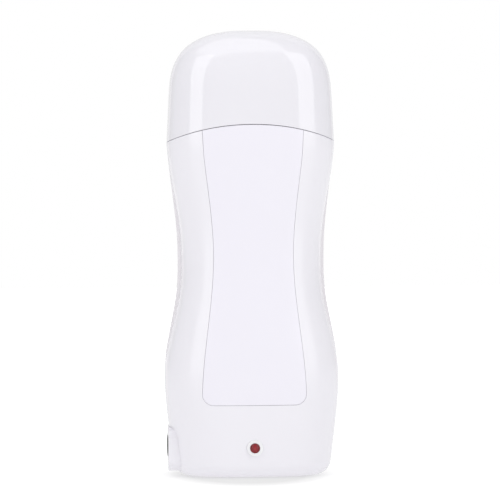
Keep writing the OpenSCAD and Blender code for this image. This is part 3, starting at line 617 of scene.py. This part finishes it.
def makeResistorFinish():
    # a tan body with colour bands round it
    tree, shader, group = newFinish("resistor_tan", "moulded", {
        "Colour": (0.62, 0.45, 0.26, 1), "Cloud": (0.55, 0.38, 0.21, 1), "Grain Size": 3500, "Roughness": 0.35,
        "Roughness Spread": 0.05}, {"Coat Weight": 0.2}, 0.004)
    where = place(tree, "TexCoord", -1500, 300)
    split = place(tree, "SeparateXYZ", -1300, 300)
    along = mapped(tree, split.outputs["X"], -resistorBands["half"], resistorBands["half"], -1100, 300)
    bands = place(tree, "ValToRGB", -900, 300)
    ramp = bands.color_ramp
    ramp.interpolation = "CONSTANT"
    while len(ramp.elements) < len(resistorBands["stops"]):
        ramp.elements.new(0.99)
    for element, (position, colour) in zip(ramp.elements, resistorBands["stops"]):
        element.position = position
        element.color = (*(colour or (0, 0, 0)), 1 if colour else 0)
    factor, first, second, result = mixColours(tree, -250, 250)
    join(tree, (where.outputs["Object"], split.inputs[0]), (along, bands.inputs["Fac"]),
         (bands.outputs["Alpha"], factor), (bands.outputs["Color"], second), (group.outputs["Colour"], first),
         (result, shader.inputs["Base Color"]))


makeLampFinish()
makeBoardFinish()
makeResistorFinish()
print("finishes made:", len(finishes))


# Half shells

def bodyLevels(stepped):
    low = [outline["baseEdge"] * (1 - math.cos(math.radians(a))) for a in outline["edgeAngles"]]
    middle = evenly(outline["baseEdge"], bendZ, outline["bodyRows"])
    high = evenly(bendZ + outline["bendStart"], outline["seamZ"], outline["seamRows"])
    levels = [(z, halfWidth(z), halfDepth(z), 0) for z in low]
    levels += [(z, halfWidth(z) - stepped * stepBack(z), halfDepth(z), bendBelow(z)) for z in middle + high]
    return levels


def addBodySkin(name, stepped):
    skin = addLoft(name, bodyLevels(stepped), outline["lowPower"], outline["highPower"])
    closeEnd(skin, 0, inset=outline["floorInset"] * mm)
    applyModifier(skin, "SUBSURF", levels=2, render_levels=2)
    return skin


def powerAt(z):
    return outline["lowPower"] + (outline["highPower"] - outline["lowPower"]) * min(1, z / outline["seamZ"])


def frontAt(x, z):
    share = min(1, abs(x) / (halfWidth(z) - stepBack(z)))
    return -halfDepth(z) * (1 - share ** powerAt(z)) ** (1 / powerAt(z))


def rearAt(x, z):
    share = min(1, abs(x) / halfWidth(z))
    return halfDepth(z) * (1 - share ** powerAt(z)) ** (1 / powerAt(z))


shell = {"wall": 2.2, "edge": 0.15, "gap": 0.15, "headPostR": 4.3, "postR": 3.3, "boreR": 2.85, "holeR": 1.55,
         "threadR": 1.33, "posts": ((27, 45.91), (-27, 45.91), (0, 31.25)), "seatY": 8, "screwEnd": -6,
         "boardPosts": (8, -8), "boardPostZ": 18.7, "boardPostR": 2.2, "boardFaceY": -14.8,
         "postShort": 0.5, "cutPast": 1, "outsideY": 34}
lampSeat = {"z": 13.7, "ringR": 3.7, "ringThick": 0.8, "proud": 0.4, "sleeveR": 3.25, "gap": 0.04, "under": 0.1,
            "holeFrom": 20}
inlet = {"face": 38.5, "depth": 17, "width": 30, "height": 19.8, "low": 2.6, "corner": 5.5, "gap": 0.06,
         "cutPast": 6, "keptBehind": 4, "segments": 12}


def keepHalf(skin, name, side):
    half = copyOf(skin, name)
    editMode(half)
    bpy.ops.mesh.select_all(action="SELECT")
    bpy.ops.mesh.bisect(plane_co=(0, 0, 0), plane_no=(0, side, 0), clear_inner=True, clear_outer=False,
                        use_fill=False, threshold=close)
    objectMode()
    return half


def thicken(piece, wall, edge):
    applyModifier(piece, "SOLIDIFY", thickness=wall * mm, offset=-1, use_even_offset=True, use_rim=True)
    soften(piece, edge, degrees=50)


def inletWindow(name):
    gap = inlet["gap"]
    outer = (-inlet["face"] - inlet["cutPast"], -inlet["width"] / 2 - gap, inlet["low"] - gap)
    inner = (-inlet["face"] + inlet["depth"] - inlet["keptBehind"], inlet["width"] / 2 + gap,
             inlet["low"] + inlet["height"] + gap)
    return addRoundedBlock(name, outer, inner, inlet["corner"] + gap, inlet["segments"])


rearSkin = addBodySkin("rearSkin", 0)
frontSkin = addBodySkin("frontSkin", 1)
rearShell = keepHalf(rearSkin, "rear_shell_moulding", 1)
frontShell = keepHalf(frontSkin, "front_shell_moulding", -1)
for half in (rearShell, frontShell):
    thicken(half, shell["wall"], shell["edge"])
print("half shells made")

# The panel on the front and its recess in the shell

panel = {"width": 35.8, "endWidth": 46.8, "low": 33, "corner": 5, "thickness": 1.4, "gap": 0.13, "waistZ": 100,
         "reach": 66, "columns": 32, "edge": 0.1, "floorGap": 0.15, "topGap": 0.1, "cornerStep": 10,
         "lowRows": 28, "topRows": 7, "topStart": 1, "cutAbove": 4, "cutInFront": 3, "cutOffset": 0.3}


def panelHalf(z):
    widening = ease(min(1, abs(z - panel["waistZ"]) / panel["reach"]))
    return panel["width"] / 2 + (panel["endWidth"] - panel["width"]) / 2 * widening


def addPanelSheet(name, grow, above=0):
    # a grid whose rows take the panel's width and height, laid onto the front of the body
    low, corner = panel["low"] - grow, panel["corner"] + grow
    rows = [(low + corner * (1 - math.cos(math.radians(a))),
             panelHalf(low) + grow - corner * (1 - math.sin(math.radians(a))))
            for a in range(0, 90, panel["cornerStep"])]
    heights = evenly(low + corner, bendZ, panel["lowRows"])
    heights += evenly(bendZ + panel["topStart"], outline["seamZ"] - panel["topGap"], panel["topRows"])
    rows += [(z, panelHalf(z) + grow) for z in heights]
    columns, last = panel["columns"], len(rows) - 1
    bpy.ops.mesh.primitive_grid_add(x_subdivisions=columns, y_subdivisions=last, size=2,
                                    rotation=(math.radians(90), 0, 0))
    sheet = bpy.context.object
    sheet.name = name
    sheet.scale = (1, last * parkingStep / 2, 1)
    sheet.location = (0, parkingFront, parkingZ - last * parkingStep / 2)
    applyPlace(sheet)
    editMode(sheet)
    for i, (z, half) in enumerate(rows):
        parked = parkingZ - i * parkingStep
        near = lambda co: abs(co.z - parked) < parkingStep / 2
        selectPoints(sheet, near)
        bpy.ops.transform.resize(value=(half * mm, 1, 1), center_override=(0, 0, parked))
        for column in range(columns // 2 + 1 if bendBelow(z) > 0 else 0):
            x = half * column / (columns / 2)
            selectPoints(sheet, lambda co: near(co) and abs(abs(co.x) - x * mm) < 0.00005)
            bpy.ops.transform.translate(value=(0, 0, bendBelow(z) * (archHeight(x) - outline["seamZ"]) * mm))
        selectPoints(sheet, near)
        bpy.ops.transform.translate(value=(0, 0, z * mm - parked))
    objectMode()
    applyModifier(sheet, "SHRINKWRAP", target=frontSkin, wrap_method="PROJECT", use_project_y=True,
                  use_positive_direction=True, use_negative_direction=False)
    if above:
        editMode(sheet)
        selectPoints(sheet, lambda co: co.z > (archHeight(co.x / mm) - 2 * panel["topGap"]) * mm)
        bpy.ops.mesh.extrude_region_move(TRANSFORM_OT_translate={"value": (0, 0, above * mm)})
        objectMode()
    return sheet


panelPiece = addPanelSheet("front_panel_moulding", 0)
recess = addPanelSheet("panelRecess", panel["gap"], above=panel["cutAbove"])
recessDepth = panel["thickness"] + panel["floorGap"] + panel["cutInFront"]
for sheet, thickness, offset in ((panelPiece, panel["thickness"], -1), (recess, recessDepth, panel["cutOffset"])):
    editMode(sheet)
    bpy.ops.mesh.select_all(action="SELECT")
    bpy.ops.mesh.normals_make_consistent(inside=False)
    mesh = bmesh.from_edit_mesh(sheet.data)
    if sum(face.normal.y for face in mesh.faces) > 0:
        bpy.ops.mesh.flip_normals()
    objectMode()
    applyModifier(sheet, "SOLIDIFY", thickness=thickness * mm, offset=offset, use_even_offset=True, use_rim=True)
soften(panelPiece, panel["edge"], segments=3, degrees=50)
fit(panelPiece, "front_panel", "housing", "panel_white")
print("panel made")

# Posts, holes and openings of the half shells

rearPosts, rearBores, frontPosts, frontBores = [], [], [], []
for x, z in shell["posts"]:
    reach = rearAt(abs(x) + shell["headPostR"], z) - shell["postShort"]
    rearPosts.append(addTurned("rearPost", (x, 0, z), "+Y",
                               straight(shell["gap"], reach, shell["headPostR"]), steps=40))
    rearBores.append(addTurned("rearBore", (x, 0, z), "+Y",
                               straight(-shell["cutPast"], shell["seatY"], shell["holeR"])
                               + straight(shell["seatY"], shell["outsideY"], shell["boreR"])))
    reach = rearAt(abs(x) + shell["postR"], z) - shell["postShort"]
    frontPosts.append(addTurned("frontPost", (x, 0, z), "-Y",
                                straight(shell["gap"], reach, shell["postR"]), steps=40))
    frontBores.append(addTurned("frontBore", (x, 0, z), "-Y", straight(
        -shell["cutPast"], shell["cutPast"] - shell["screwEnd"], shell["threadR"])))
for x in shell["boardPosts"]:
    reach = -frontAt(abs(x) + shell["boardPostR"], shell["boardPostZ"]) - shell["postShort"]
    frontPosts.append(addTurned("boardPost", (x, 0, shell["boardPostZ"]), "-Y",
                                straight(-shell["boardFaceY"], reach, shell["boardPostR"]), steps=32))
lampSeatY = -frontAt(0, lampSeat["z"])
ringSeatY = lampSeatY + lampSeat["proud"] - lampSeat["ringThick"] - lampSeat["under"]
frontBores.append(addTurned("lampHole", (0, 0, lampSeat["z"]), "-Y",
                            straight(lampSeat["holeFrom"], ringSeatY, lampSeat["sleeveR"])
                            + straight(ringSeatY, shell["outsideY"], lampSeat["ringR"] + lampSeat["gap"]), steps=64))
carve(rearShell, rearPosts, "UNION")
carve(rearShell, rearBores + [inletWindow("rearWindow")])
carve(frontShell, frontPosts, "UNION")
carve(frontShell, frontBores + [inletWindow("frontWindow"), recess])
fit(rearShell, "rear_shell", "housing", "shell_white", finish="rear_white")
fit(frontShell, "front_shell", "housing", "shell_white")
remove(rearSkin, frontSkin)
print("shell openings cut")

# Cap

cap = {"wall": 2.1, "edge": 0.15, "sideRows": 8, "crownGap": 0.01,
       "domeAngles": (84, 78, 72, 66, 60, 54, 48, 42, 36, 30, 24, 18, 12, 7)}
crownZ = outline["crownZ"] - cap["crownGap"]


def capLevels():
    low = outline["seamZ"] + outline["seamGap"]
    levels = [(z, halfWidth(z), halfDepth(z), bendAbove(z)) for z in evenly(low, domeZ, cap["sideRows"])]
    for z in [domeZ + outline["domeH"] * math.cos(math.radians(a)) for a in cap["domeAngles"]] + [crownZ]:
        levels.append((z, halfWidth(z), halfDepth(z), 0))
    return levels


capShell = addLoft("cap_moulding", capLevels(), outline["highPower"], outline["highPower"])
closeEnd(capShell, crownZ * mm)
applyModifier(capShell, "SUBSURF", levels=2, render_levels=2)
thicken(capShell, cap["wall"], cap["edge"])
fit(capShell, "cap", "cap", "cap_white")
print("cap made")

# The lamp and its ring, on the front below the panel

lamp = {"r": 2.18, "proud": 0.9, "flangeR": 2.8, "flangeThick": 1, "backY": 20.4, "edge": 0.12, "lensRows": 10,
        "tipR": 0.02, "tipGap": 0.0004, "bore": 2.24, "sleeve": 3.025, "sleeveDepth": 6, "ringEdge": 0.14}
ringFace = lampSeatY + lampSeat["proud"]
dome = (lamp["r"] ** 2 + lamp["proud"] ** 2) / (2 * lamp["proud"])
turn = math.asin(lamp["r"] / dome)
angles = [turn * i / lamp["lensRows"] for i in range(lamp["lensRows"], 0, -1)]
lens = [(lamp["proud"] - dome * (1 - math.cos(a)), dome * math.sin(a)) for a in angles]
back = lamp["backY"] - ringFace
flangeFront = back + lamp["flangeThick"]
lampPiece = addTurned("lamp_lens", (0, -ringFace, lampSeat["z"]), "-Y",
                      straight(back, flangeFront, lamp["flangeR"]) + [(flangeFront, lamp["r"])] + lens +
                      [(lamp["proud"] - lamp["tipGap"], lamp["tipR"])], steps=64)
soften(lampPiece, lamp["edge"], degrees=60)
fit(lampPiece, "lamp", "housing", "lamp_red")
sleeveEnd, ringBack = -lamp["sleeveDepth"], -lampSeat["ringThick"]
ringPiece = addTurned("lamp_ring_turned", (0, -ringFace, lampSeat["z"]), "-Y", [
    (sleeveEnd, lamp["bore"]), (sleeveEnd, lamp["sleeve"]), (ringBack, lamp["sleeve"]), (ringBack, lampSeat["ringR"]),
    (0, lampSeat["ringR"]), (0, lamp["bore"]), (sleeveEnd, lamp["bore"])], steps=64, ring=True)
soften(ringPiece, lamp["ringEdge"], segments=4)
fit(ringPiece, "lamp_ring", "housing", "ring_white")
print("lamp made")

# Pieces whose solids have the right shape: tidy copies with softened edges

softened = (
    # node, body, finish, edge in mm
    ("well_collar", "housing", "collar_white", 0.3),
    ("heating_well", "housing", "well_aluminium", 0.15),
    ("inlet_block", "housing", "shell_white", 0.5),
    ("inlet_socket", "housing", "socket_black", 0.25),
    ("inlet_pins", "housing", "pin_nickel", 0.25),
    ("well_screws", "housing", "screw_steel", 0.15),
    ("clip_screw", "housing", "screw_steel", 0.15),
    ("board_screws", "housing", "screw_steel", 0.15),
    ("shell_screws", "housing", "screw_steel", 0.2),
    ("heater_film", "housing", "film_amber", 0.04),
    ("heater", "housing", "heater_ceramic", 0.25),
    ("heater_spring", "housing", "spring_steel", 0.12),
    ("thermal_fuse", "housing", "fuse_metal", 0.2),
    ("fuse_sleeve", "housing", "sleeve_fabric", 0.1),
    ("fuse_clip", "housing", "spring_steel", 0.1),
    ("lamp_leads", "housing", "lead_tin", 0.08),
    ("lamp_board", "housing", "board_tan", 0.12),
    ("board_resistors", "housing", "resistor_tan", 0.35),
    ("board_diode", "housing", "diode_black", 0.12),
    ("wax_bottle", "cartridge", "bottle_cream", 0.3),
    ("wax", "cartridge", "wax_honey", 0.3),
    ("roller_head", "cartridge", "head_white", 0.3),
    ("roller", "roller", "roller_white", 0.35),
)
for node, body, finish, edge in softened:
    piece = cleanCopy(node, node + "_finished")
    soften(piece, edge, segments=3)
    fit(piece, node, body, finish)
for node, finish in (("live_wire", "wire_brown"), ("link_wire", "wire_brown"), ("neutral_wire", "wire_blue"),
                     ("lamp_wires", "wire_grey")):
    piece = cleanCopy(node, node + "_finished")
    applyModifier(piece, "SUBSURF", levels=1, render_levels=1)
    fit(piece, node, "housing", finish, degrees=60)
print("inner pieces dressed")

# Camera, at the photograph's angle

cameraPlace = {"azimuth": -3.0, "distance": 1.2, "height": 0.1026, "aside": 0.0003, "roll": -0.35,
               "frameAtObject": 0.2293, "sensor": 36}


def addCamera():
    azimuth, roll = math.radians(cameraPlace["azimuth"]), math.radians(cameraPlace["roll"])
    back = Vector((math.sin(azimuth), -math.cos(azimuth), 0))
    right = Vector((math.cos(azimuth), math.sin(azimuth), 0))
    up = Vector((0, 0, 1))
    rolledRight = right * math.cos(roll) + up * math.sin(roll)
    rolledUp = up * math.cos(roll) - right * math.sin(roll)
    data = bpy.data.cameras.new("photoCamera")
    data.lens = cameraPlace["sensor"] * cameraPlace["distance"] / cameraPlace["frameAtObject"]
    data.sensor_width = cameraPlace["sensor"]
    data.sensor_fit = "HORIZONTAL"
    data.clip_start = 0.01
    camera = bpy.data.objects.new("photoCamera", data)
    bpy.context.scene.collection.objects.link(camera)
    rows = Matrix((rolledRight, rolledUp, back)).transposed().to_4x4()
    spot = back * cameraPlace["distance"] + up * cameraPlace["height"] - right * cameraPlace["aside"]
    camera.matrix_world = Matrix.Translation(spot) @ rows
    bpy.context.scene.camera = camera


# Floor and soft studio light

studio = {"floorSize": 12, "floorGap": 0.0002, "floorWhite": 0.38, "floorRough": 0.9, "floorGlow": 0.6,
          # lift: seen by the camera only, painted shade near the piece turning to painted light further out
          "lift": (-0.15, 0.5), "paintedShadeReach": (0.048, 0.11), "paintedShadeStretch": (1.8, 1.06, 1),
          "paintedShadeAside": (0.0035, 0, 0), "world": 0.55, "worldSeen": 1.0,
          "softboxes": (  # name, spot, back, across, size, glow
              ("leftSoftbox", (-0.97, -0.91, 0.57), (-0.25, -0.81, 0.52), (0.90, -0.39, -0.18), (0.74, 1.70), 1.6),
              ("rightSoftbox", (1.05, -0.71, 0.75), (0.43, -0.83, 0.35), (0.87, 0.49, 0.10), (0.88, 1.75), 1.5),
              ("topSoftbox", (-0.28, -0.32, 1.59), (0, 0, 1), (0.89, 0.45, 0), (1.25, 1.4), 0.9),
              ("backSheet", (0, 1.5, 1.0), (0, 0.9, 0.44), (1, 0, 0), (2.4, 2.6), 0.3))}


def addFloor():
    bpy.ops.mesh.primitive_grid_add(x_subdivisions=8, y_subdivisions=8, size=studio["floorSize"],
                                    location=(0, 0, -studio["floorGap"]))
    floor = bpy.context.object
    floor.name = "studioFloor"
    applyPlace(floor)
    material = bpy.data.materials.new("floorPaper")
    material.use_nodes = True
    tree = material.node_tree
    shader = tree.nodes["Principled BSDF"]
    shader.inputs["Base Color"].default_value = (*[studio["floorWhite"]] * 3, 1)
    shader.inputs["Roughness"].default_value = studio["floorRough"]
    shader.inputs["Specular IOR Level"].default_value = 0.0
    shader.inputs["Emission Color"].default_value = (1, 1, 1, 1)
    # lit paper: it glows a little everywhere; for camera rays it is painted darker near the piece, a painted shadow
    # that deepens the contact shadow, and painted lighter further out, painted light over the other shadows, so that
    # only the contact shadow shows
    rays = place(tree, "LightPath", -700, -100)
    where = place(tree, "TexCoord", -1300, -400)
    oval = place(tree, "Mapping", -1100, -400)
    oval.inputs["Location"].default_value = studio["paintedShadeAside"]
    oval.inputs["Scale"].default_value = studio["paintedShadeStretch"]
    reach = place(tree, "VectorMath", -900, -400, operation="LENGTH")
    join(tree, (where.outputs["Object"], oval.inputs["Vector"]), (oval.outputs["Vector"], reach.inputs[0]))
    paintedShadeAndLight = mapped(tree, reach.outputs["Value"], *studio["paintedShadeReach"], -700, -400, *studio["lift"])
    seen = summed(tree, "MULTIPLY", rays.outputs["Is Camera Ray"], paintedShadeAndLight, -500, -200)
    join(tree, (summed(tree, "ADD", seen, studio["floorGlow"], -250, -200), shader.inputs["Emission Strength"]))
    floor.data.materials.append(material)


def addSoftbox(name, spot, back, across, size, glow):
    # the spot, the way its back points and its width's direction are seen from the camera's side
    light = bpy.data.lights.new(name, "AREA")
    light.shape = "RECTANGLE"
    light.size, light.size_y = size
    light.energy = glow * math.pi * size[0] * size[1]
    box = bpy.data.objects.new(name, light)
    bpy.context.scene.collection.objects.link(box)
    back, across = Vector(back).normalized(), Vector(across)
    across = (across - back * across.dot(back)).normalized()
    rows = Matrix((across, back.cross(across), back)).transposed().to_4x4()
    turned = Matrix.Rotation(math.radians(cameraPlace["azimuth"]), 4, "Z")
    box.matrix_world = turned @ Matrix.Translation(spot) @ rows
    box.visible_camera = False


def addWorld():
    world = bpy.data.worlds.new("studioAir")
    bpy.context.scene.world = world
    world.use_nodes = True
    tree = world.node_tree
    sky = tree.nodes["Background"]
    sky.inputs["Color"].default_value = (1, 1, 1, 1)
    rays = place(tree, "LightPath", -700, 0)
    join(tree, (mapped(tree, rays.outputs["Is Camera Ray"], 0, 1, -400, 0, studio["world"], studio["worldSeen"]),
                sky.inputs["Strength"]))


addCamera()
addFloor()
for softbox in studio["softboxes"]:
    addSoftbox(*softbox)
addWorld()
bpy.context.scene.view_settings.view_transform = "Standard"
print("studio set")
